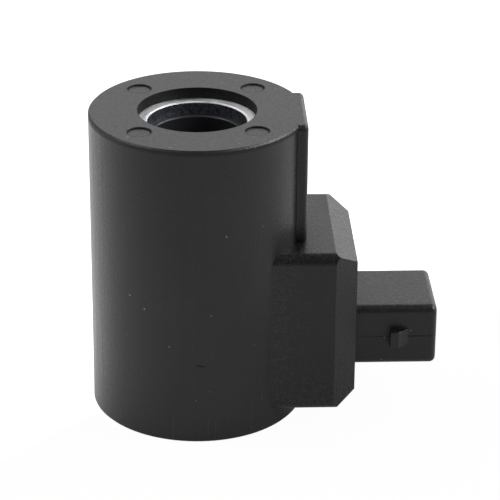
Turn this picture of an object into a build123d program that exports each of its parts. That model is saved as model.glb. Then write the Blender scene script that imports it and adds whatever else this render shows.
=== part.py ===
from build123d import *
from math import sqrt
import os

# Round solenoid valve coil, cast in one moulding round its winding and its steel.
# Millimetres. +Z is up along the bore, and the origin is on the bore's axis in the lower end face.
# The plug socket points along +X.

# Moulded drum
body_diameter = 40.0
body_height = 58.6
body_edge_break = 0.35
wall_over_steel = 2.5
recess_depth = 2.1
ring_show = 1.8

# Round marks in the upper end face
mark_count = 4
mark_first_angle = 45.0
mark_circle_diameter = 30.0
mark_diameter = 4.4
mark_depth = 0.25

# Flat pad above the terminal block
pad_width = 17.3
pad_edge_radius = 0.9

# Terminal block
block_width = 30.0
block_bottom = 3.5
block_height = 32.0
block_stand_out = 9.3
block_edge_radius = 2.0
chamfer_depth = 4.2
chamfer_across = 3.6
chamfer_rise = 2.75

# Plug socket
socket_height_above_base = 15.8
shroud_length = 15.5
shroud_width = 17.1
shroud_height = 12.1
shroud_wall = 1.5
shroud_edge_radius = 1.5
mouth_edge_radius = 1.1
mouth_lead_in = 0.2
cavity_depth = 12.5
cavity_corner_radius = 0.6
key_rib_width = 1.2
key_rib_height = 0.8
key_rib_spacing = 9.6
key_rib_from_mouth = 2.0

# Snap lugs on the narrow sides of the shroud
lug_height = 1.75
lug_width = 3.2
lug_top_length = 1.55
lug_ramp_length = 2.1
lug_back_from_mouth = 8.9
lug_edge_radius = 0.15

# Steel flux path
plate_thickness = 2.5
plate_edge_break = 0.25
sleeve_thickness = 1.5
sleeve_seam = 0.3
sleeve_slot_width = 14.0
sleeve_slot_height = 19.0

# Bobbin
bore_diameter = 16.4
bore_ledge = 1.0
bore_lead_in = 0.2
bobbin_tube_wall = 1.0
bobbin_flange_thickness = 1.6
bobbin_flange_gap = 0.8
tongue_width = 11.0
tongue_past_steel = 4.0
wire_slot_width = 1.1
wire_slot_depth = 1.1

# Winding
winding_fill_ratio = 0.74
winding_tape_thickness = 0.3
wire_diameter = 0.5
wire_corner_cut = 0.3
wire_drop = 0.5
lead_clear_of_tail = 0.05
lead_past_tail = 0.3
lead_sleeve_wall = 0.2
lead_sleeve_end_gap = 0.6

# Terminals, 2.8 x 0.8 mm tabs
terminal_pitch = 5.0
tab_width = 2.8
tab_thickness = 0.8
tab_short_of_mouth = 1.6
tab_tip_length = 1.0
tab_tip_inset = 0.8
tab_edge_break = 0.2
leg_past_steel = 1.1
tail_width = 1.6
tail_inset = 0.6
tail_past_solder = 0.1

# Terminal carrier
carrier_width = 10.0
carrier_past_steel = 5.5
carrier_behind_leg = 1.2
carrier_over_tab = 1.8
carrier_foot_width = 1.4
bay_height = 2.0
peg_width = 1.0
peg_clearance = 0.05
peg_from_leg = 1.2

# Solder joints
solder_length = 2.3
solder_width = 1.6
solder_height = 1.6
solder_edge_break = 0.35

# Places worked out from the sizes above
body_radius = body_diameter / 2
bore_radius = bore_diameter / 2
plate_bore_radius = bore_radius + bore_ledge
recess_radius = plate_bore_radius + ring_show
sleeve_outer_radius = body_radius - wall_over_steel
sleeve_inner_radius = sleeve_outer_radius - sleeve_thickness
steel_bottom = recess_depth
steel_top = body_height - recess_depth
bobbin_bottom = steel_bottom + plate_thickness
bobbin_top = steel_top - plate_thickness
tube_outer_radius = bore_radius + bobbin_tube_wall
flange_radius = sleeve_inner_radius - bobbin_flange_gap
winding_bottom = bobbin_bottom + bobbin_flange_thickness
winding_top = bobbin_top - bobbin_flange_thickness
winding_radius = tube_outer_radius + winding_fill_ratio * (flange_radius - tube_outer_radius)
tape_radius = winding_radius + winding_tape_thickness
tongue_end = sleeve_outer_radius + tongue_past_steel

block_top = block_bottom + block_height
block_middle = block_bottom + block_height / 2
block_face = body_radius + block_stand_out
mouth = block_face + shroud_length
cavity_floor = mouth - cavity_depth
cavity_width = shroud_width - 2 * shroud_wall
cavity_height = shroud_height - 2 * shroud_wall

leg_back = sleeve_outer_radius + leg_past_steel
leg_front = leg_back + tab_width
tail_back = leg_back + tail_inset
tail_front = tail_back + tail_width
tab_tip = mouth - tab_short_of_mouth
bay_top = winding_bottom + bay_height
slot_height = winding_bottom - wire_drop
tail_bottom = slot_height - solder_height / 2 - tail_past_solder
carrier_back = leg_back - carrier_behind_leg
carrier_front = sleeve_outer_radius + carrier_past_steel
carrier_top = socket_height_above_base + tab_width / 2 + carrier_over_tab
carrier_foot_middle = (carrier_width - carrier_foot_width) / 2
window_width = carrier_width - 2 * carrier_foot_width
peg_place = leg_front - peg_from_leg


def across(x, z):
    """A plane facing +X at the given distance and height, with its own x along Y."""
    return Plane(origin=(x, 0, z), x_dir=(0, 1, 0), z_dir=(1, 0, 0))


def ring(inner_radius, outer_radius, bottom, top):
    """A plain washer or tube standing on the axis."""
    section = Circle(outer_radius) - Circle(inner_radius)
    return extrude(Plane.XY.offset(bottom) * section, amount=top - bottom)


def block_of(back, front, width, bottom, top):
    """A straight-sided block, centred on Y."""
    section = across(back, (bottom + top) / 2) * Rectangle(width, top - bottom)
    return extrude(section, amount=front - back)


def drum():
    """The moulded cylinder with broken edges at both ends, cut back where the pad replaces it."""
    solid = extrude(Circle(body_radius), amount=body_height)
    solid = chamfer(solid.edges().filter_by(GeomType.CIRCLE), body_edge_break)
    flank = block_of(body_radius - pad_edge_radius, body_radius, pad_width, block_middle,
                     body_height)
    return solid - flank


def pad():
    """The flat-faced pad that rises from the terminal block to the upper end face."""
    solid = block_of(0, body_radius, pad_width, block_middle, body_height)
    outer = solid.edges().filter_by(Axis.Z).group_by(Axis.X)[-1]
    top = solid.faces().sort_by(Axis.Z)[-1].edges().sort_by(Axis.X)[1:]
    return fillet(outer + top, pad_edge_radius)


def terminal_block():
    """The block round the terminals: long edges rounded, the outer face chamfered all round."""
    shoulder = block_face - chamfer_depth
    full = Rectangle(block_width, block_height)
    small = Rectangle(block_width - 2 * chamfer_across, block_height - 2 * chamfer_rise)
    nose = loft([across(shoulder, block_middle) * full, across(block_face, block_middle) * small],
                ruled=True)
    tapered = block_of(0, shoulder, block_width, block_bottom, block_top) + nose
    outline = RectangleRounded(block_width, block_height, block_edge_radius)
    rounded = extrude(across(0, block_middle) * outline, amount=block_face)
    return tapered & rounded


def shroud():
    """The outside of the plug socket, its long edges and then its mouth rounded over."""
    bottom = socket_height_above_base - shroud_height / 2
    solid = block_of(body_radius, mouth, shroud_width, bottom, bottom + shroud_height)
    solid = fillet(solid.edges().filter_by(Axis.X), shroud_edge_radius)
    rim = solid.faces().sort_by(Axis.X)[-1].edges()
    return fillet(rim, mouth_edge_radius)


def snap_lug(side):
    """A wedge that the plug's spring clip rides up and drops behind."""
    face = shroud_width / 2
    back = mouth - lug_back_from_mouth
    crest = back + lug_top_length
    foot = crest + lug_ramp_length
    outline = Polyline((back, 0), (back, face + lug_height), (crest, face + lug_height),
                       (foot, face), (foot, 0), close=True)
    bottom = socket_height_above_base - lug_width / 2
    solid = extrude(Plane.XY.offset(bottom) * make_face(outline), amount=lug_width)
    crown = solid.faces().filter_by(Axis.Y).sort_by(Axis.Y)[-1]
    solid = fillet(crown.edges(), lug_edge_radius)
    return solid if side > 0 else mirror(solid, about=Plane.XZ)


def socket_cavity():
    """The space that the plug's nose fills, less the two ribs that key the plug."""
    section = RectangleRounded(cavity_width, cavity_height, cavity_corner_radius)
    space = extrude(across(cavity_floor, socket_height_above_base) * section, amount=cavity_depth)
    wide = RectangleRounded(cavity_width + 2 * mouth_lead_in, cavity_height + 2 * mouth_lead_in,
                            cavity_corner_radius + mouth_lead_in)
    lead_in = loft([across(mouth - mouth_lead_in, socket_height_above_base) * section,
                    across(mouth, socket_height_above_base) * wide], ruled=True)
    floor = socket_height_above_base - cavity_height / 2
    rib = block_of(cavity_floor, mouth - key_rib_from_mouth, key_rib_width, floor,
                   floor + key_rib_height)
    ribs = [Pos(0, place, 0) * rib for place in (-key_rib_spacing / 2, key_rib_spacing / 2)]
    return space + lead_in - ribs


def end_marks():
    """Shallow round marks that the mould's pins leave in the upper end face."""
    places = PolarLocations(mark_circle_diameter / 2, mark_count, start_angle=mark_first_angle)
    floor = Plane.XY.offset(body_height - mark_depth)
    return [extrude(floor * place * Circle(mark_diameter / 2), amount=mark_depth)
            for place in places]


def top_flux_plate():
    """A steel washer pressed into the top of the flux sleeve, its bore broken on the outside."""
    solid = ring(plate_bore_radius, sleeve_inner_radius, bobbin_top, steel_top)
    outside_edges = solid.faces().sort_by(Axis.Z)[-1].edges()
    return chamfer(outside_edges.sort_by(SortBy.RADIUS)[0], plate_edge_break)


def flux_sleeve():
    """A rolled steel tube, open in a seam at the back and in a slot where the terminals leave."""
    tube = ring(sleeve_inner_radius, sleeve_outer_radius, steel_bottom, steel_top)
    slot = block_of(0, body_radius, sleeve_slot_width, steel_bottom,
                    steel_bottom + sleeve_slot_height)
    seam = block_of(-body_radius, 0, sleeve_seam, steel_bottom, steel_top)
    return tube - slot - seam


def tongue():
    """The part of the lower flange that reaches out through the sleeve's slot."""
    return block_of(winding_radius, tongue_end, tongue_width, bobbin_bottom, winding_bottom)


def bobbin_blank():
    """The bobbin before its wire slots and peg holes: a tube, two flanges and a forked tongue."""
    section = Polyline((bore_radius, bobbin_bottom), (flange_radius, bobbin_bottom),
                       (flange_radius, winding_bottom), (tube_outer_radius, winding_bottom),
                       (tube_outer_radius, winding_top), (flange_radius, winding_top),
                       (flange_radius, bobbin_top), (bore_radius, bobbin_top), close=True)
    window = block_of(carrier_back, tongue_end, window_width, bobbin_bottom, winding_bottom)
    reel = revolve(Plane.XZ * make_face(section), axis=Axis.Z) + tongue() - window
    bore_edges = reel.edges().filter_by(GeomType.CIRCLE).sort_by(SortBy.RADIUS)[:2]
    return chamfer(bore_edges, bore_lead_in)


def lead_line(side):
    """Distance from the middle at which a lead passes the flank of its terminal's tail."""
    return side * ((terminal_pitch + tab_thickness + wire_diameter) / 2 + lead_clear_of_tail)


def wire_slot(side, start):
    """The groove that takes one lead out under the winding, along flange and tongue."""
    groove = block_of(start - wire_diameter / 2, carrier_back, wire_slot_width,
                      winding_bottom - wire_slot_depth, winding_bottom)
    return Pos(0, lead_line(side), 0) * groove


def carrier_pegs(width):
    """The two square pegs under the carrier's feet, or the holes that they drop into."""
    peg = block_of(peg_place - width / 2, peg_place + width / 2, width, bobbin_bottom,
                   winding_bottom)
    return [Pos(0, place, 0) * peg for place in (-carrier_foot_middle, carrier_foot_middle)]


def bobbin():
    """The moulded reel that the coil is wound on, bored for the valve's tube."""
    slots = [wire_slot(side, lead_start(side)) for side in (-1, 1)]
    return bobbin_blank() - slots - carrier_pegs(peg_width + 2 * peg_clearance)


def winding():
    """The copper, wound full between the flanges."""
    return ring(tube_outer_radius, winding_radius, winding_bottom, winding_top)


def winding_tape():
    """Tape wrapped over the last layer of copper."""
    return ring(winding_radius, tape_radius, winding_bottom, winding_top)


def terminal(side):
    """A flat brass stamping: a tab in the socket, a leg in the carrier, a tail for the lead."""
    low = socket_height_above_base - tab_width / 2
    high = socket_height_above_base + tab_width / 2
    nose = tab_tip - tab_tip_length
    outline = Polyline((leg_back, high), (nose, high), (tab_tip, high - tab_tip_inset),
                       (tab_tip, low + tab_tip_inset), (nose, low), (leg_front, low),
                       (leg_front, bay_top), (tail_front, bay_top), (tail_front, tail_bottom),
                       (tail_back, tail_bottom), (tail_back, bay_top), (leg_back, bay_top),
                       close=True)
    middle = side * terminal_pitch / 2
    blank = make_face(Plane.XZ.offset(-middle) * outline)
    solid = extrude(blank, amount=tab_thickness / 2, both=True)
    return chamfer(solid.faces().sort_by(Axis.X)[-1].edges(), tab_edge_break)


def terminal_carrier(terminals):
    """A small arch on the bobbin's tongue that holds both terminals at the height of the socket."""
    body = block_of(carrier_back, carrier_front, carrier_width, bay_top, carrier_top)
    foot = block_of(carrier_back, leg_front, carrier_foot_width, winding_bottom, bay_top)
    feet = [Pos(0, place, 0) * foot for place in (-carrier_foot_middle, carrier_foot_middle)]
    return body + feet + carrier_pegs(peg_width) - terminals


def lead_start(side):
    """Distance along X at which a lead leaves the copper: first layer one side, last the other."""
    layer = tube_outer_radius if side > 0 else winding_radius - wire_diameter
    radius = layer + wire_diameter / 2
    return sqrt(radius ** 2 - lead_line(side) ** 2)


def lead(side):
    """One end of the winding wire: down out of the copper and straight along its slot."""
    start = lead_start(side)
    line = lead_line(side)
    path = Polyline((start, line, winding_bottom), (start, line, slot_height + wire_corner_cut),
                    (start + wire_corner_cut, line, slot_height),
                    (tail_front + lead_past_tail, line, slot_height))
    section = Plane(origin=path @ 0, z_dir=path % 0) * Circle(wire_diameter / 2)
    return sweep(section, path=path, transition=Transition.RIGHT)


def start_lead_sleeve():
    """Insulating tube on the lead that passes under every layer of the winding."""
    first = lead_start(1) + lead_sleeve_end_gap
    last = flange_radius - lead_sleeve_end_gap
    section = Circle(wire_diameter / 2 + lead_sleeve_wall) - Circle(wire_diameter / 2)
    place = Plane(origin=(first, lead_line(1), slot_height), z_dir=(1, 0, 0))
    return extrude(place * section, amount=last - first)


def start_solder_joint(metal):
    """Solder round the tail of the start terminal and the lead that lies against it."""
    across_both = (terminal_pitch / 2 - tab_thickness / 2 + lead_line(1) + wire_diameter / 2) / 2
    middle = Pos((tail_back + tail_front) / 2, across_both, slot_height - solder_height / 2)
    bead = extrude(middle * Rectangle(solder_length, solder_width), amount=solder_height)
    return chamfer(bead.edges(), solder_edge_break) - metal


def core_space():
    """What the drum's moulding leaves free round its axis: recesses, plates, reel and copper."""
    outline = Polyline((0, 0), (recess_radius, 0), (recess_radius, steel_bottom),
                       (sleeve_inner_radius, steel_bottom), (sleeve_inner_radius, bobbin_bottom),
                       (flange_radius, bobbin_bottom), (flange_radius, winding_bottom),
                       (tape_radius, winding_bottom), (tape_radius, winding_top),
                       (flange_radius, winding_top), (flange_radius, bobbin_top),
                       (sleeve_inner_radius, bobbin_top), (sleeve_inner_radius, steel_top),
                       (recess_radius, steel_top), (recess_radius, body_height),
                       (0, body_height), close=True)
    return revolve(Plane.XZ * make_face(outline), axis=Axis.Z)


def moulded_housing(sleeve, terminals):
    """The outer moulding, run in round the steel, the reel and the terminals."""
    outside = drum() + pad() + terminal_block() + shroud() + snap_lug(-1) + snap_lug(1)
    carrier_space = block_of(winding_radius, carrier_front, carrier_width, winding_bottom,
                             carrier_top)
    inside = [core_space(), sleeve, tongue(), carrier_space] + terminals
    return outside - inside - socket_cavity() - end_marks()


sleeve = flux_sleeve()
start_terminal = terminal(1)
finish_terminal = terminal(-1)
start_lead = lead(1)
finish_lead = lead(-1)
start_joint = start_solder_joint([start_terminal, start_lead])
top_plate = top_flux_plate()

pieces = {
    "moulded_housing": moulded_housing(sleeve, [start_terminal, finish_terminal]),
    "top_flux_plate": top_plate,
    "bottom_flux_plate": mirror(top_plate, about=Plane.XY.offset(body_height / 2)),
    "flux_sleeve": sleeve,
    "bobbin": bobbin(),
    "copper_winding": winding(),
    "winding_tape": winding_tape(),
    "terminal_carrier": terminal_carrier([start_terminal, finish_terminal]),
    "start_terminal": start_terminal,
    "finish_terminal": finish_terminal,
    "start_lead": start_lead,
    "finish_lead": finish_lead,
    "start_lead_sleeve": start_lead_sleeve(),
    "start_solder_joint": start_joint,
    "finish_solder_joint": mirror(start_joint, about=Plane.XZ),
}

os.makedirs("parts", exist_ok=True)
for name, shape in pieces.items():
    export_step(shape, f"parts/{name}.step")
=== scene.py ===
from math import pi, radians
import bpy
from mathutils import Matrix, Vector


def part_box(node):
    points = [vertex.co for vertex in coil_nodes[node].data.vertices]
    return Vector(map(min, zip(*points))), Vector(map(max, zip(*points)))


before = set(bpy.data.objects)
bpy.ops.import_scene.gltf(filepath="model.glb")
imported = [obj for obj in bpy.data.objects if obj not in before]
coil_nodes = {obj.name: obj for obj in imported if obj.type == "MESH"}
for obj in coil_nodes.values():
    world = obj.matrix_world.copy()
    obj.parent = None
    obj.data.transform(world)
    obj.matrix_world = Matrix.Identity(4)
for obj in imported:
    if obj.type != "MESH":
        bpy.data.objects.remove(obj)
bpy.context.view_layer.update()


# The bobbin is one shot of dark glass-filled polyester. It comes first, because everything else
# is wound on it or clipped to it. The terminal carrier is moulded in the same resin and drops
# onto the bobbin's tongue with two square pegs.
def place(tree, kind, **settings):
    node = tree.nodes.new(kind)
    for name, value in settings.items():
        setattr(node, name, value)
    return node


def feed(inlet, value):
    if isinstance(value, bpy.types.NodeSocket):
        inlet.id_data.links.new(value, inlet)
    elif inlet.type == "RGBA":
        inlet.default_value = (*value, 1.0)
    else:
        inlet.default_value = value


def start_group(name, inputs, outputs):
    group = bpy.data.node_groups.new(name, "ShaderNodeTree")
    for label, kind, value in inputs:
        socket = group.interface.new_socket(
            name=label, in_out="INPUT", socket_type="NodeSocket" + kind)
        socket.default_value = value
    for label, kind in outputs:
        group.interface.new_socket(
            name=label, in_out="OUTPUT", socket_type="NodeSocket" + kind)
    entry = place(group, "NodeGroupInput")
    ending = place(group, "NodeGroupOutput")
    return group, entry.outputs, ending.inputs


def figure(operation, *values):
    tree = next(value.id_data for value in values if isinstance(value, bpy.types.NodeSocket))
    node = place(tree, "ShaderNodeMath", operation=operation)
    for inlet, value in zip(node.inputs, values):
        feed(inlet, value)
    return node.outputs[0]


def vector_figure(operation, *values):
    node = place(values[0].id_data, "ShaderNodeVectorMath", operation=operation)
    for inlet, value in zip(node.inputs, values):
        feed(inlet, value)
    return node.outputs


def spread(value, low, high, to_low=0.0, to_high=1.0):
    node = place(value.id_data, "ShaderNodeMapRange", clamp=True)
    feed(node.inputs["Value"], value)
    feed(node.inputs["From Min"], low)
    feed(node.inputs["From Max"], high)
    feed(node.inputs["To Min"], to_low)
    feed(node.inputs["To Max"], to_high)
    return node.outputs["Result"]


def vary(cloud_value, to_low, to_high):
    cloud_low, cloud_high = 0.3, 0.7
    return spread(cloud_value, cloud_low, cloud_high, to_low, to_high)


def scale_for(size):
    return figure("DIVIDE", 1.0, size)


def cloud(where, scale, detail=2.0, roughness=0.5):
    node = place(where.id_data, "ShaderNodeTexNoise")
    feed(node.inputs["Vector"], where)
    feed(node.inputs["Scale"], scale)
    feed(node.inputs["Detail"], detail)
    feed(node.inputs["Roughness"], roughness)
    return node.outputs["Fac"]


def stretch(where, scale):
    node = place(where.id_data, "ShaderNodeMapping")
    feed(node.inputs["Scale"], scale)
    feed(node.inputs["Vector"], where)
    return node.outputs[0]


def blend_colours(share, first, second):
    first_inlet, second_inlet, colour_outlet = 6, 7, 2
    node = place(share.id_data, "ShaderNodeMix", data_type="RGBA")
    feed(node.inputs["Factor"], share)
    feed(node.inputs[first_inlet], first)
    feed(node.inputs[second_inlet], second)
    return node.outputs[colour_outlet]


def begin_finish(name, **settings):
    finish = bpy.data.materials.new(name)
    finish.use_nodes = True
    shader = finish.node_tree.nodes["Principled BSDF"]
    for label, value in settings.items():
        shader.inputs[label.replace("_", " ")].default_value = value
    where = place(finish.node_tree, "ShaderNodeTexCoord").outputs["Object"]
    return finish, shader, where


def use_group(group, where, **values):
    node = place(where.id_data, "ShaderNodeGroup", node_tree=group)
    if "Place" in node.inputs:
        feed(node.inputs["Place"], where)
    for label, value in values.items():
        feed(node.inputs[label.replace("_", " ")], value)
    return node.outputs


def raise_surface(shader, height, depth, edges=None):
    node = place(shader.id_data, "ShaderNodeBump")
    feed(node.inputs["Distance"], depth)
    feed(node.inputs["Height"], height)
    if edges is not None:
        feed(node.inputs["Normal"], edges["Soft Normal"])
    feed(shader.inputs["Normal"], node.outputs["Normal"])


def dress(finish, *node_names):
    for node_name in node_names:
        piece = coil_nodes[node_name]
        piece.data.materials.clear()
        piece.data.materials.append(finish)
        for face in piece.data.polygons:
            face.material_index = 0


# Grain is the fine texture of the mould. Flow is the slow change of shade where the resin met.
# Drag is the faint upright streaks left as the piece slid out.
drag_length = (1.0, 1.0, 0.03)
drag_scale = 1100.0
moulded_skin, skin_in, skin_out = start_group(
    "Moulded skin",
    [("Place", "Vector", (0, 0, 0)),
     ("Grain Size", "Float", 0.0004),
     ("Flow Size", "Float", 0.012)],
    [("Grain", "Float"), ("Flow", "Float"), ("Drag", "Float")])
grain_scale = scale_for(skin_in["Grain Size"])
flow_scale = scale_for(skin_in["Flow Size"])
drag_place = stretch(skin_in["Place"], drag_length)
feed(skin_out["Grain"], cloud(skin_in["Place"], grain_scale, detail=3.0, roughness=0.62))
feed(skin_out["Flow"], cloud(skin_in["Place"], flow_scale, detail=4.0, roughness=0.55))
feed(skin_out["Drag"], cloud(drag_place, drag_scale, detail=3.0, roughness=0.6))

# An edge is worn, and takes a painted highlight, where the rounded normal turns away from the
# plain one.
worn_match = 0.86
plain_match = 0.99
handled_edges, edges_in, edges_out = start_group(
    "Handled edges",
    [("Width", "Float", 0.0002)],
    [("Soft Normal", "Vector"), ("Wear And Highlight", "Float")])
edges_bevel = place(handled_edges, "ShaderNodeBevel", samples=8)
feed(edges_bevel.inputs["Radius"], edges_in["Width"])
soft_normal = edges_bevel.outputs["Normal"]
plain_normal = place(handled_edges, "ShaderNodeNewGeometry").outputs["Normal"]
normals_match = vector_figure("DOT_PRODUCT", soft_normal, plain_normal)["Value"]
feed(edges_out["Soft Normal"], soft_normal)
feed(edges_out["Wear And Highlight"], spread(normals_match, worn_match, plain_match, 1.0, 0.0))

reel_dark = (0.022, 0.022, 0.025)
reel_light = (0.036, 0.036, 0.04)
reel_gloss = (0.36, 0.5)
reel_grain_depth = 0.00002
reel_finish, reel_shader, reel_place = begin_finish("Dark reel polyester", Specular_IOR_Level=0.4)
reel_skin = use_group(moulded_skin, reel_place, Grain_Size=0.0003, Flow_Size=0.009)
reel_edges = use_group(handled_edges, reel_place, Width=0.00015)
feed(reel_shader.inputs["Base Color"], blend_colours(reel_skin["Flow"], reel_dark, reel_light))
feed(reel_shader.inputs["Roughness"], vary(reel_skin["Grain"], *reel_gloss))
raise_surface(reel_shader, reel_skin["Grain"], reel_grain_depth, reel_edges)
dress(reel_finish, "bobbin", "terminal_carrier")


# The winding is enamelled copper wire of about half a millimetre, laid in close turns between
# the bobbin's flanges. The two leads are the ends of the same wire, still in their enamel, run
# along slots in the bobbin's tongue to the terminals.
wire_pitch = 0.00052
wire_rise = 0.00022
gap_roundness = 0.45


def split_place(where):
    node = place(where.id_data, "ShaderNodeSeparateXYZ")
    feed(node.inputs[0], where)
    return node.outputs["X"], node.outputs["Y"], node.outputs["Z"]


def times(first, second):
    return figure("MULTIPLY", first, second)


# Each turn climbs one pitch as it goes round. Round is its curved top, and Gap marks the crease
# between it and the next, which the finishes darken as painted shade.
wound_turns, turns_in, turns_out = start_group(
    "Wound turns",
    [("Place", "Vector", (0, 0, 0)), ("Pitch", "Float", wire_pitch)],
    [("Round", "Float"), ("Gap", "Float")])
turns_x, turns_y, turns_z = split_place(turns_in["Place"])
turn_share = figure("DIVIDE", figure("ARCTAN2", turns_y, turns_x), 2 * pi)
turn_count = figure("ADD", figure("DIVIDE", turns_z, turns_in["Pitch"]), turn_share)
turn_centre = figure("MULTIPLY_ADD", figure("FRACT", turn_count), 2.0, -1.0)
turn_round = figure("SQRT", figure("SUBTRACT", 1.0, times(turn_centre, turn_centre)))
feed(turns_out["Round"], turn_round)
feed(turns_out["Gap"], spread(turn_round, 0.0, gap_roundness, 1.0, 0.0))

# Bare metal and varnish dull in soft patches, and fingers leave finer smears over them.
smears_per_patch = 3.0
patch_range = (0.35, 0.7)
smear_range = (0.4, 0.65)
tarnish, tarnish_in, tarnish_out = start_group(
    "Tarnish",
    [("Place", "Vector", (0, 0, 0)), ("Patch Size", "Float", 0.004)],
    [("Patches", "Float"), ("Smears", "Float")])
patch_scale = scale_for(tarnish_in["Patch Size"])
smear_scale = times(patch_scale, smears_per_patch)
patch_cloud = cloud(tarnish_in["Place"], patch_scale, detail=5.0, roughness=0.6)
smear_cloud = cloud(tarnish_in["Place"], smear_scale, detail=3.0, roughness=0.5)
feed(tarnish_out["Patches"], spread(patch_cloud, *patch_range))
feed(tarnish_out["Smears"], spread(smear_cloud, *smear_range))

copper_bright = (0.62, 0.22, 0.09)
copper_dull = (0.48, 0.15, 0.055)
copper_gap_shade = (0.05, 0.014, 0.006)
copper_gloss = (0.22, 0.36)


def enamelled_copper(name, with_turns):
    finish, shader, where = begin_finish(
        name, Metallic=1.0, Coat_Weight=0.6, Coat_Roughness=0.08)
    dulling = use_group(tarnish, where, Patch_Size=0.006)
    copper = blend_colours(dulling["Patches"], copper_bright, copper_dull)
    feed(shader.inputs["Roughness"], spread(dulling["Smears"], 0.0, 1.0, *copper_gloss))
    if with_turns:
        turns = use_group(wound_turns, where, Pitch=wire_pitch)
        # The creases between the turns are painted dark, as shade.
        copper = blend_colours(turns["Gap"], copper, copper_gap_shade)
        raise_surface(shader, turns["Round"], wire_rise)
    feed(shader.inputs["Base Color"], copper)
    return finish


dress(enamelled_copper("Enamelled copper turns", True), "copper_winding")
dress(enamelled_copper("Enamelled copper lead", False), "start_lead", "finish_lead")


# The lead of the first layer passes under every other layer, so it wears a sleeve of braided
# glass yarn, varnished pale. The braid shows as two crossing sets of fine yarns.
yarns_along = 9000.0
yarns_up = 12000.0
yarn_hollow = -0.6
yarn_hollow_shade = (0.5, 0.43, 0.29)
yarn_pale = (0.72, 0.67, 0.53)
braid_depth = 0.00003


def larger(first, second):
    return figure("MAXIMUM", first, second)


braid_finish, braid_shader, braid_place = begin_finish(
    "Varnished glass braid", Roughness=0.5, Specular_IOR_Level=0.4,
    Coat_Weight=0.2, Coat_Roughness=0.1)
braid_x, _, braid_z = split_place(braid_place)
yarn_along = times(braid_x, yarns_along)
yarn_up = times(braid_z, yarns_up)
yarn_rising = figure("SINE", figure("ADD", yarn_along, yarn_up))
yarn_falling = figure("SINE", figure("SUBTRACT", yarn_along, yarn_up))
braid_height = larger(yarn_rising, yarn_falling)
# The hollows between the yarns are painted darker, as shade.
braid_colour = blend_colours(spread(braid_height, yarn_hollow, 1.0), yarn_hollow_shade, yarn_pale)
feed(braid_shader.inputs["Base Color"], braid_colour)
raise_surface(braid_shader, braid_height, braid_depth)
dress(braid_finish, "start_lead_sleeve")


# Amber polyester tape holds the last layer down. It is wound in overlapping laps twelve
# millimetres wide, and the turns below press through it.
lap_width = 0.012
lap_roundness = 0.2
tape_light = (0.6, 0.27, 0.035)
tape_deep = (0.7, 0.36, 0.06)
tape_gap_shade = (0.22, 0.08, 0.015)
tape_lap = (0.3, 0.11, 0.02)
tape_depth = 0.00006
tape_gap_shade_share = 0.35
tape_lap_share = 0.6
tape_line_height = 0.4
tape_finish, tape_shader, tape_place = begin_finish(
    "Amber polyester tape", Roughness=0.24, Coat_Weight=0.35, Coat_Roughness=0.12)
tape_turns = use_group(wound_turns, tape_place, Pitch=wire_pitch)
tape_laps = use_group(wound_turns, tape_place, Pitch=lap_width)
tape_clouds = use_group(tarnish, tape_place, Patch_Size=0.01)
lap_edge = spread(tape_laps["Round"], 0.0, lap_roundness, 1.0, 0.0)
tape_colour = blend_colours(tape_clouds["Patches"], tape_light, tape_deep)
# The creases of the turns below the tape are painted darker, as shade.
tape_colour = blend_colours(times(tape_turns["Gap"], tape_gap_shade_share), tape_colour, tape_gap_shade)
tape_colour = blend_colours(times(lap_edge, tape_lap_share), tape_colour, tape_lap)
feed(tape_shader.inputs["Base Color"], tape_colour)
tape_height = figure("ADD", times(tape_turns["Round"], tape_line_height), lap_edge)
raise_surface(tape_shader, tape_height, tape_depth)
dress(tape_finish, "winding_tape")


# Both terminals are blanked from rolled brass strip and tinned. The rolls leave fine lines along
# the strip, and the tin dulls to grey where fingers have been.
strip_length = (0.04, 1.0, 1.0)
strip_scale = 9000.0
tin_bright = (0.66, 0.65, 0.62)
tin_dull = (0.52, 0.5, 0.46)
tin_gloss = (0.22, 0.42)
strip_depth = 0.00001
tin_finish, tin_shader, tin_place = begin_finish("Tinned brass", Metallic=1.0)
strip_lines = cloud(stretch(tin_place, strip_length), strip_scale, detail=3.0, roughness=0.6)
tin_dulling = use_group(tarnish, tin_place, Patch_Size=0.003)
feed(tin_shader.inputs["Base Color"], blend_colours(tin_dulling["Patches"], tin_bright, tin_dull))
feed(tin_shader.inputs["Roughness"], vary(strip_lines, *tin_gloss))
raise_surface(tin_shader, strip_lines, strip_depth)
dress(tin_finish, "start_terminal", "finish_terminal")


# Each lead is soldered to its terminal's tail in one short dip. The joint is dull and lumpy,
# with brown flux left in its hollows.
solder_bright = (0.55, 0.56, 0.58)
solder_dull = (0.4, 0.4, 0.41)
flux_brown = (0.16, 0.08, 0.03)
flux_most = 0.5
lump_height = 0.00008
solder_finish, solder_shader, solder_place = begin_finish("Dipped solder", Roughness=0.38)
solder_lumps = use_group(tarnish, solder_place, Patch_Size=0.0012)
flux_share = times(solder_lumps["Smears"], flux_most)
solder_colour = blend_colours(solder_lumps["Patches"], solder_bright, solder_dull)
solder_colour = blend_colours(flux_share, solder_colour, flux_brown)
feed(solder_shader.inputs["Base Color"], solder_colour)
feed(solder_shader.inputs["Metallic"], figure("SUBTRACT", 1.0, flux_share))
raise_surface(solder_shader, solder_lumps["Patches"], lump_height)
dress(solder_finish, "start_solder_joint", "finish_solder_joint")


# The end plates are turned from mild steel and bright zinc plated, then pressed into the rolled
# flux sleeve. Their outer faces keep the rings that the lathe left. The plate at the top shows
# as the bright ring in the recess.
def distance(across, along):
    return figure("SQRT", figure("ADD", times(across, across), times(along, along)))


def below(value, limit):
    return figure("LESS_THAN", value, limit)


def band(value, middle, half_width, fade):
    away = figure("ABSOLUTE", figure("SUBTRACT", value, middle))
    return spread(away, half_width, half_width + fade, 1.0, 0.0)


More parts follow.
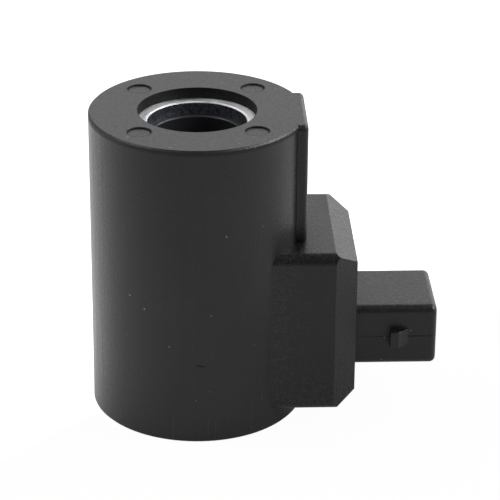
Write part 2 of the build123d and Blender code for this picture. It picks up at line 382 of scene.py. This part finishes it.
# Rings are the marks of the lathe's feed, from the middle outwards. Streaks are the uneven arcs
# that the tool drags along them.
streaks_round = 2.0
streaks_out = 2500.0
streaks_up = 900.0
turning_marks, turning_in, turning_out = start_group(
    "Turning marks",
    [("Place", "Vector", (0, 0, 0)), ("Feed", "Float", 0.00018)],
    [("Rings", "Float"), ("Streaks", "Float"), ("Radius", "Float")])
turning_x, turning_y, turning_z = split_place(turning_in["Place"])
turning_radius = distance(turning_x, turning_y)
turning_angle = figure("ARCTAN2", turning_y, turning_x)
turning_rings = place(turning_marks, "ShaderNodeTexNoise", noise_dimensions="1D")
feed(turning_rings.inputs["Scale"], 1.0)
feed(turning_rings.inputs["Detail"], 3.0)
feed(turning_rings.inputs["W"], figure("DIVIDE", turning_radius, turning_in["Feed"]))
turning_place = place(turning_marks, "ShaderNodeCombineXYZ")
feed(turning_place.inputs["X"], times(turning_angle, streaks_round))
feed(turning_place.inputs["Y"], times(turning_radius, streaks_out))
feed(turning_place.inputs["Z"], times(turning_z, streaks_up))
feed(turning_out["Rings"], turning_rings.outputs["Fac"])
feed(turning_out["Streaks"], cloud(turning_place.outputs[0], 1.0, detail=3.0, roughness=0.6))
feed(turning_out["Radius"], turning_radius)

zinc_shade = (0.52, 0.53, 0.55)
zinc_bright = (0.92, 0.93, 0.94)
zinc_grey = (0.42, 0.43, 0.46)
zinc_lit_white = (1.0, 1.0, 1.0)
zinc_gloss = (0.5, 0.68)
streak_range = (0.35, 0.62)
smear_share = 0.3
ring_depth = 0.00003
zinc_finish, zinc_shader, zinc_place = begin_finish("Bright zinc plate")
zinc_marks = use_group(turning_marks, zinc_place, Feed=0.00022)
zinc_dulling = use_group(tarnish, zinc_place, Patch_Size=0.005)
zinc_edges = use_group(handled_edges, zinc_place, Width=0.00012)
zinc_x = split_place(zinc_place)[0]

# The face is painted brighter towards the socket's side, as light falling there, and a patchy dark
# line of painted shade lies in the corner where it meets the housing.
lit_side_from = 0.005
lit_side_full = 0.0085
corner_shade_radius = 0.01074
corner_shade_half_width = 0.00005
corner_shade_fade = 0.00006
corner_shade_black = (0.02, 0.02, 0.022)
zinc_lit_side = spread(zinc_x, lit_side_from, lit_side_full)
zinc_corner_shade = band(zinc_marks["Radius"], corner_shade_radius, corner_shade_half_width, corner_shade_fade)
zinc_face = blend_colours(spread(zinc_marks["Streaks"], *streak_range), zinc_shade, zinc_bright)
zinc_face = blend_colours(times(zinc_dulling["Smears"], smear_share), zinc_face, zinc_grey)
zinc_face = blend_colours(zinc_lit_side, zinc_face, zinc_lit_white)
zinc_face = blend_colours(times(zinc_corner_shade, zinc_dulling["Patches"]), zinc_face, corner_shade_black)

# The upright wall of the plate's bore is coloured darker than the face, and mottled.
bore_limit = 0.0098
wall_slope = 0.2
face_slope = 0.6
mottle_scale = 1600.0
mottle_range = (0.35, 0.65)
mottle_dark = (0.08, 0.087, 0.104)
mottle_light = (0.3, 0.32, 0.37)
zinc_normal = place(zinc_shader.id_data, "ShaderNodeNewGeometry").outputs["Normal"]
zinc_level = figure("ABSOLUTE", split_place(zinc_normal)[2])
zinc_wall = spread(zinc_level, wall_slope, face_slope, 1.0, 0.0)
zinc_wall = times(zinc_wall, below(zinc_marks["Radius"], bore_limit))
zinc_mottle = cloud(zinc_place, mottle_scale, detail=4.0, roughness=0.65)
zinc_bore = blend_colours(spread(zinc_mottle, *mottle_range), mottle_dark, mottle_light)

# Near the rim the plating is chalky, which makes it less of a mirror. This shows most on the
# socket's side and on the side opposite.
chalk_shift = 0.0015
chalk_from = 0.002
chalk_full = 0.0065
chalk_share = 0.55
chalk_inside = 0.0094
chalk_outside = 0.0101
chalk_ends = spread(figure("ABSOLUTE", figure("ADD", zinc_x, chalk_shift)),
                    chalk_from, chalk_full, 0.0, chalk_share)
chalk_rim = spread(zinc_marks["Radius"], chalk_inside, chalk_outside)
feed(zinc_shader.inputs["Base Color"], blend_colours(zinc_wall, zinc_face, zinc_bore))
feed(zinc_shader.inputs["Roughness"], vary(zinc_marks["Rings"], *zinc_gloss))
feed(zinc_shader.inputs["Metallic"], figure("SUBTRACT", 1.0, times(chalk_ends, chalk_rim)))
raise_surface(zinc_shader, zinc_marks["Rings"], ring_depth, zinc_edges)
dress(zinc_finish, "top_flux_plate", "bottom_flux_plate", "flux_sleeve")


# The housing is moulded round all of it in one shot of black glass-filled nylon: drum, pad,
# terminal block and plug socket. Its skin is matt and finely grained, and it carries the usual
# specks of dust, a parting line along the socket, and a few scuffs from handling.
def grey(level):
    return (level, level, level)


def above(value, limit):
    return figure("GREATER_THAN", value, limit)


def cells(where, size, feature):
    node = place(where.id_data, "ShaderNodeTexVoronoi", feature=feature)
    feed(node.inputs["Vector"], where)
    feed(node.inputs["Scale"], scale_for(size))
    return node.outputs


# Dust lies one speck to a cell. The cells below bare_share have none, and the rest differ in size.
bare_share = 0.35
largest_speck = 1.7
settled_dust, dust_in, dust_out = start_group(
    "Settled dust",
    [("Place", "Vector", (0, 0, 0)),
     ("Spacing", "Float", 0.003),
     ("Speck Size", "Float", 0.00012)],
    [("Specks", "Float")])
dust_cells = cells(dust_in["Place"], dust_in["Spacing"], "F1")
dust_reach = times(dust_cells["Distance"], dust_in["Spacing"])
dust_chance = place(settled_dust, "ShaderNodeSeparateColor")
feed(dust_chance.inputs[0], dust_cells["Color"])
dust_growth = spread(dust_chance.outputs[0], bare_share, 1.0, 0.0, largest_speck)
feed(dust_out["Specks"], below(dust_reach, times(dust_growth, dust_in["Speck Size"])))

# Scuffs are bent lines between cells, shown in patches and broken up along their length.
bend_scale = 260.0
bend_reach = (0.004, 0.004, 0.004)
line_core = 0.008
line_fade = 0.03
break_scale = 900.0
break_range = (0.45, 0.6)
scuffed_range = (0.56, 0.68)
scuffs, scuffs_in, scuffs_out = start_group(
    "Scuffs",
    [("Place", "Vector", (0, 0, 0)),
     ("Patch Size", "Float", 0.012),
     ("Line Spacing", "Float", 0.0022)],
    [("Lines", "Float")])
scuff_bend = place(scuffs, "ShaderNodeTexNoise")
feed(scuff_bend.inputs["Scale"], bend_scale)
feed(scuff_bend.inputs["Vector"], scuffs_in["Place"])
scuff_place = vector_figure(
    "MULTIPLY_ADD", scuff_bend.outputs["Color"], bend_reach, scuffs_in["Place"])["Vector"]
scuff_cells = cells(scuff_place, scuffs_in["Line Spacing"], "DISTANCE_TO_EDGE")
scuff_lines = spread(scuff_cells["Distance"], line_core, line_fade, 1.0, 0.0)
scuff_patches = cloud(scuffs_in["Place"], scale_for(scuffs_in["Patch Size"]))
scuff_breaks = cloud(scuffs_in["Place"], break_scale)
scuff_shown = times(spread(scuff_patches, *scuffed_range), spread(scuff_breaks, *break_range))
feed(scuffs_out["Lines"], times(scuff_lines, scuff_shown))

housing_finish, housing_shader, housing_place = begin_finish("Black grained nylon")
housing_skin = use_group(moulded_skin, housing_place, Grain_Size=0.00045, Flow_Size=0.014)
housing_scuffs = use_group(scuffs, housing_place, Patch_Size=0.014, Line_Spacing=0.0024)
housing_dust = use_group(settled_dust, housing_place, Spacing=0.0025, Speck_Size=0.0001)
housing_x, housing_y, housing_z = split_place(housing_place)
housing_radius = distance(housing_x, housing_y)

# The marks below keep their places from the drum's side, its top and the socket's mouth.
housing_low, housing_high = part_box("moulded_housing")
drum_radius = -housing_low.x
drum_top = housing_high.z
socket_mouth = housing_high.x

# Each pin mark in the top face has a fine dark ring in its corner.
mark_place = 0.0106
mark_radius = 0.0022
mark_floor = drum_top - 0.0003
mark_half_width = 0.00009
mark_fade = 0.00012
mark_share = 0.7
mark_across = figure("SUBTRACT", figure("ABSOLUTE", housing_x), mark_place)
mark_along = figure("SUBTRACT", figure("ABSOLUTE", housing_y), mark_place)
mark_ring = band(distance(mark_across, mark_along), mark_radius, mark_half_width, mark_fade)
mark_ring = times(times(mark_ring, mark_share), above(housing_z, mark_floor))

# The mould parts along the middle of the socket, and the line is clearest at the socket's mouth.
parting_height = 0.0158
parting_half_width = 0.00006
parting_from = socket_mouth - 0.0155
lug_end = socket_mouth - 0.0052
parting_share = 0.75
socket_half_width = 0.0087
parting_line = band(housing_z, parting_height, parting_half_width, parting_half_width)
parting_line = times(parting_line, spread(housing_x, parting_from, lug_end, 0.0, parting_share))
parting_line = times(parting_line, below(figure("ABSOLUTE", housing_y), socket_half_width))

# A small slanting nick is cut into the near side of the drum.
nick_x = 0.0002
nick_z = 0.01598
nick_length = 0.001
nick_width = 0.00022
nick_slope = 0.2
nick_side = 0.0007 - drum_radius
nick_core = 0.4
nick_share = 0.8
nick_along = figure("SUBTRACT", housing_x, nick_x)
nick_up = figure("MULTIPLY_ADD", nick_along, nick_slope, figure("SUBTRACT", housing_z, nick_z))
nick_reach = larger(figure("DIVIDE", figure("ABSOLUTE", nick_along), nick_length),
                    figure("DIVIDE", figure("ABSOLUTE", nick_up), nick_width))
nick = times(spread(nick_reach, nick_core, 1.0, nick_share, 0.0), below(housing_y, nick_side))
groove = larger(larger(mark_ring, parting_line), nick)

# Edges are broken by handling. The inner corner between drum, pad and block stays sharp.
edge_width = 0.00015
corner_width = 0.00001
corner_reach = 0.0003
corner_fade = 0.0002
corner_from = 0.0105
corner_top = drum_top - 0.0011
corner = times(band(housing_radius, drum_radius, corner_reach, corner_fade),
               above(housing_x, corner_from))
corner = times(corner, below(housing_z, corner_top))
housing_edge_width = figure("MULTIPLY_ADD", corner, corner_width - edge_width, edge_width)
housing_edges = use_group(handled_edges, housing_place, Width=housing_edge_width)

# The skin of the block is coarser than the drum's, and it is speckled most at the block's back
# and foot. The block starts just outside the drum and ends where the socket leaves it.
block_from = drum_radius + 0.00005
block_full = drum_radius + 0.0003
block_face = socket_mouth - 0.0158
socket_root = socket_mouth - 0.0153
block_coarser = 0.7
back_from = 0.014
back_to = 0.021
foot_from = 0.006
foot_to = 0.014
speck_range = (0.47, 0.62)
speck_least = 0.3
off_drum = spread(housing_radius, block_from, block_full)
# On the block the nylon is painted darker than on the drum, as shade.
on_block = times(off_drum, spread(housing_x, block_face, socket_root, 1.0, 0.0))
block_back = spread(housing_x, back_from, back_to, 1.0, speck_least)
block_foot = spread(housing_z, foot_from, foot_to, 1.0, speck_least)
block_specks = times(spread(housing_skin["Grain"], *speck_range),
                     times(on_block, larger(block_back, block_foot)))
block_grain = figure("MULTIPLY_ADD", off_drum, block_coarser, 1.0)

# Scuffs are strongest on the block and fade out towards the foot, where the drum is rubbed grey.
scuff_drum_share = 0.1
scuff_block_share = 0.5
scuff_none = 0.014
scuff_full = 0.02
rub_full = 0.002
rub_none = 0.008
rub_range = (0.58, 0.68)
rub_share = 0.4
scuff_share = figure("MULTIPLY_ADD", off_drum, scuff_block_share - scuff_drum_share,
                     scuff_drum_share)
scuff_share = times(scuff_share, spread(housing_z, scuff_none, scuff_full))
foot_rub = times(spread(housing_skin["Drag"], *rub_range, 0.0, rub_share),
                 spread(housing_z, rub_full, rub_none, 1.0, 0.0))

# The recess is duller than the outside, most of all on the socket's side and opposite. Its wall is
# also painted dark, as the shade in the recess.
recess_radius = 0.01101
recess_edge = 0.01106
dull_from = 0.003
dull_full = 0.0095
dull_range = (0.18, 0.6)
recess_wall = spread(housing_radius, recess_radius, recess_edge, 1.0, 0.0)
recess_dull = spread(figure("ABSOLUTE", housing_x), dull_from, dull_full, *dull_range)
recess_dull = times(recess_wall, recess_dull)

# A dull band of painted shade runs round the drum under its upper rim, and the rim itself is
# slightly dull.
rim_height = drum_top - 0.00065
rim_half_width = 0.0002
rim_fade = 0.0003
rim_inside = drum_radius - 0.0002
rim_edge_radius = drum_radius - 0.00037
rim_edge_height = drum_top - 0.0004
pad_corner = 0.01805
band_dulling = 0.25
edge_dulling = 0.1
rim_shade_band = times(band(housing_z, rim_height, rim_half_width, rim_fade),
                 above(housing_radius, rim_inside))
rim_edge = times(above(housing_radius, rim_edge_radius), above(housing_z, rim_edge_height))
rim_edge = times(rim_edge, below(housing_x, pad_corner))
rim_dull = larger(times(rim_shade_band, band_dulling), times(rim_edge, edge_dulling))

# Over the black of the resin go its tints in turn: painted highlights on edges, painted shade in
# grooves, recess, rim band and block, then scuffs, dust, specks and rubbing.
nylon_dark = (0.008, 0.008, 0.0085)
nylon_light = (0.014, 0.014, 0.0145)
nylon_worn_highlight = grey(0.045)
nylon_shadow = grey(0.002)
nylon_scuffed = grey(0.09)
nylon_block_shade = grey(0.003)
nylon_speck = grey(0.023)
nylon_rubbed = grey(0.06)
dust_pale = (0.5, 0.5, 0.48)
wear_highlight_share = 0.35
dust_share = 0.45
recess_share = 0.85
rim_share = 0.8
block_share = 0.75
nylon_colour = blend_colours(housing_skin["Flow"], nylon_dark, nylon_light)
for share, tint in (
        (times(housing_edges["Wear And Highlight"], wear_highlight_share), nylon_worn_highlight),
        (groove, nylon_shadow),
        (times(housing_scuffs["Lines"], scuff_share), nylon_scuffed),
        (times(housing_dust["Specks"], dust_share), dust_pale),
        (times(recess_wall, recess_share), nylon_shadow),
        (times(rim_shade_band, rim_share), nylon_shadow),
        (times(on_block, block_share), nylon_block_shade),
        (block_specks, nylon_speck),
        (foot_rub, nylon_rubbed)):
    nylon_colour = blend_colours(share, nylon_colour, tint)
feed(housing_shader.inputs["Base Color"], nylon_colour)

nylon_gloss = (0.24, 0.35)
drag_range = (0.35, 0.65)
drag_dulling = 0.07
groove_dulling = 0.5
nylon_roughness = vary(housing_skin["Grain"], *nylon_gloss)
for dulling in (
        spread(housing_skin["Drag"], *drag_range, 0.0, drag_dulling),
        times(groove, groove_dulling),
        larger(recess_dull, rim_dull)):
    nylon_roughness = figure("ADD", nylon_roughness, dulling)
feed(housing_shader.inputs["Roughness"], nylon_roughness)

nylon_grain_depth = 0.00006
groove_depth = 3.0
nylon_height = figure("SUBTRACT", times(housing_skin["Grain"], block_grain),
                      times(groove, groove_depth))
raise_surface(housing_shader, nylon_height, nylon_grain_depth, housing_edges)
dress(housing_finish, "moulded_housing")


# The coil stands on a white table. The table shows white to the camera and keeps a soft shadow,
# and from below it can be seen through.
table_half = 3.0
table_mesh = bpy.data.meshes.new("white_table")
table_mesh.from_pydata(
    [(-table_half, -table_half, 0), (table_half, -table_half, 0),
     (table_half, table_half, 0), (-table_half, table_half, 0)],
    [], [(0, 1, 2, 3)])
table = bpy.data.objects.new("white_table", table_mesh)
bpy.context.collection.objects.link(table)

table_shade = (0.79, 0.79, 0.79)
table_light = (0.81, 0.81, 0.81)
table_finish, table_shader, table_place = begin_finish(
    "White table", Roughness=0.8, Specular_IOR_Level=0.0)
table_grain = use_group(moulded_skin, table_place, Grain_Size=0.002, Flow_Size=0.3)
feed(table_shader.inputs["Base Color"],
     blend_colours(table_grain["Flow"], table_shade, table_light))

# In reflections the table's glow is painted: bright behind the coil, dimmer in front of it and
# further off, with a painted shadow under the socket.
table_front = 0.64
table_back = 1.95
table_turn = -0.3
table_from = -0.9
table_curve = 1.3
near_end = 0.04
far_start = 0.15
near_level = 1.12
far_level = 0.72
shadow_place = (0.045, -0.02, 0.0)
shadow_core = 0.005
shadow_end = 0.08
shadow_level = 0.3
table_x, table_y, _ = split_place(vector_figure("NORMALIZE", table_place)["Vector"])
table_way = figure("MULTIPLY_ADD", table_x, table_turn, table_y)
table_rise = figure("POWER", spread(table_way, table_from, 1.0), table_curve)
table_reach = vector_figure("LENGTH", table_place)["Value"]
shadow_reach = vector_figure("DISTANCE", table_place, shadow_place)["Value"]
table_level = figure("MULTIPLY_ADD", table_rise, table_back - table_front, table_front)
table_level = times(table_level, spread(table_reach, near_end, far_start, near_level, far_level))
table_level = times(table_level, spread(shadow_reach, shadow_core, shadow_end, shadow_level, 1.0))

# The table glows by itself, almost fully to the camera and through clear pieces, and by about
# half in reflections.
eye_share = 0.975
gloss_share = 0.55
through_share = 0.93
table_tree = table_finish.node_tree
table_rays = place(table_tree, "ShaderNodeLightPath").outputs
table_glow = place(table_tree, "ShaderNodeEmission")
feed(table_glow.inputs["Strength"], larger(table_level, table_rays["Is Camera Ray"]))
glow_share = larger(
    larger(times(table_rays["Is Camera Ray"], eye_share),
           times(table_rays["Is Glossy Ray"], gloss_share)),
    times(table_rays["Is Transmission Ray"], through_share))
table_back_side = place(table_tree, "ShaderNodeNewGeometry").outputs["Backfacing"]
table_clear = place(table_tree, "ShaderNodeBsdfTransparent")


def mix_shaders(share, first, second):
    node = place(share.id_data, "ShaderNodeMixShader")
    feed(node.inputs["Fac"], share)
    feed(node.inputs[1], first.outputs[0])
    feed(node.inputs[2], second.outputs[0])
    return node


table_top = mix_shaders(glow_share, table_shader, table_glow)
table_whole = mix_shaders(table_back_side, table_top, table_clear)
feed(table_tree.nodes["Material Output"].inputs["Surface"], table_whole.outputs[0])
table_mesh.materials.append(table_finish)


# The studio is a white sweep behind the coil and a dimmer room in front of it. Four soft boxes
# light the coil: two stand behind it, one stands to its right and one hangs to its left.
sweep_lean = -1.1
sweep_from = -0.75
sweep_dim = 0.16
sweep_bright = 0.8
wall_lean = -1.3
wall_from = 0.32
wall_full = 0.95
wall_bright = 0.76
room = bpy.data.worlds.new("White studio")
bpy.context.scene.world = room
room.use_nodes = True
room_tree = room.node_tree
room_tree.nodes.clear()
room_x, room_y, room_z = split_place(place(room_tree, "ShaderNodeTexCoord").outputs["Generated"])
room_back = figure("MULTIPLY_ADD", room_z, sweep_lean, room_y)
room_sweep = spread(room_back, sweep_from, 1.0, sweep_dim, sweep_bright)
room_side = figure("MULTIPLY_ADD", room_z, wall_lean, figure("ABSOLUTE", room_x))
room_walls = spread(room_side, wall_from, wall_full, 0.0, wall_bright)
room_rays = place(room_tree, "ShaderNodeLightPath").outputs
room_glow = place(room_tree, "ShaderNodeBackground")
feed(room_glow.inputs["Color"], grey(1.0))
feed(room_glow.inputs["Strength"],
     larger(larger(room_sweep, room_walls), room_rays["Is Camera Ray"]))
room_out = place(room_tree, "ShaderNodeOutputWorld")
feed(room_out.inputs["Surface"], room_glow.outputs[0])

coil_middle = (0, 0, 0.03)
coil_far_side = (0, 0.05, 0.03)


def soft_box(name, spot, aim, width, height, power):
    lamp = bpy.data.lights.new(name, "AREA")
    lamp.shape = "RECTANGLE"
    lamp.size = width
    lamp.size_y = height
    lamp.energy = power
    holder = bpy.data.objects.new(name, lamp)
    bpy.context.collection.objects.link(holder)
    holder.location = spot
    holder.rotation_euler = (Vector(aim) - Vector(spot)).to_track_quat("-Z", "Y").to_euler()


soft_box("back_box", (-0.1, 0.8, 0.6), coil_middle, width=0.9, height=0.5, power=1.0)
soft_box("edge_box", (0.45, 0.85, 0.2), coil_middle, width=0.5, height=0.3, power=0.5)
soft_box("right_box", (0.72, 0.1, 0.68), coil_far_side, width=0.9, height=0.35, power=8.0)
soft_box("top_box", (-0.5, 0.2, 0.85), coil_middle, width=0.3, height=0.3, power=3.5)


# The camera stands well back with a long lens and looks down at the coil. The socket points to
# the right, as in the photograph.
view_azimuth = radians(-2.495)
view_elevation = radians(25.212)
view_roll = radians(0.456)
camera_spot = (-0.00774, -0.4048, 0.22079)
lens = bpy.data.cameras.new("studio_camera")
lens.sensor_width = 36.0
lens.lens = 171.13
camera = bpy.data.objects.new("studio_camera", lens)
bpy.context.collection.objects.link(camera)
camera_turn = (Matrix.Rotation(view_azimuth, 4, "Z")
               @ Matrix.Rotation(pi / 2 - view_elevation, 4, "X")
               @ Matrix.Rotation(view_roll, 4, "Z"))
camera.matrix_world = Matrix.Translation(camera_spot) @ camera_turn
bpy.context.scene.camera = camera
bpy.context.scene.view_settings.view_transform = "Standard"
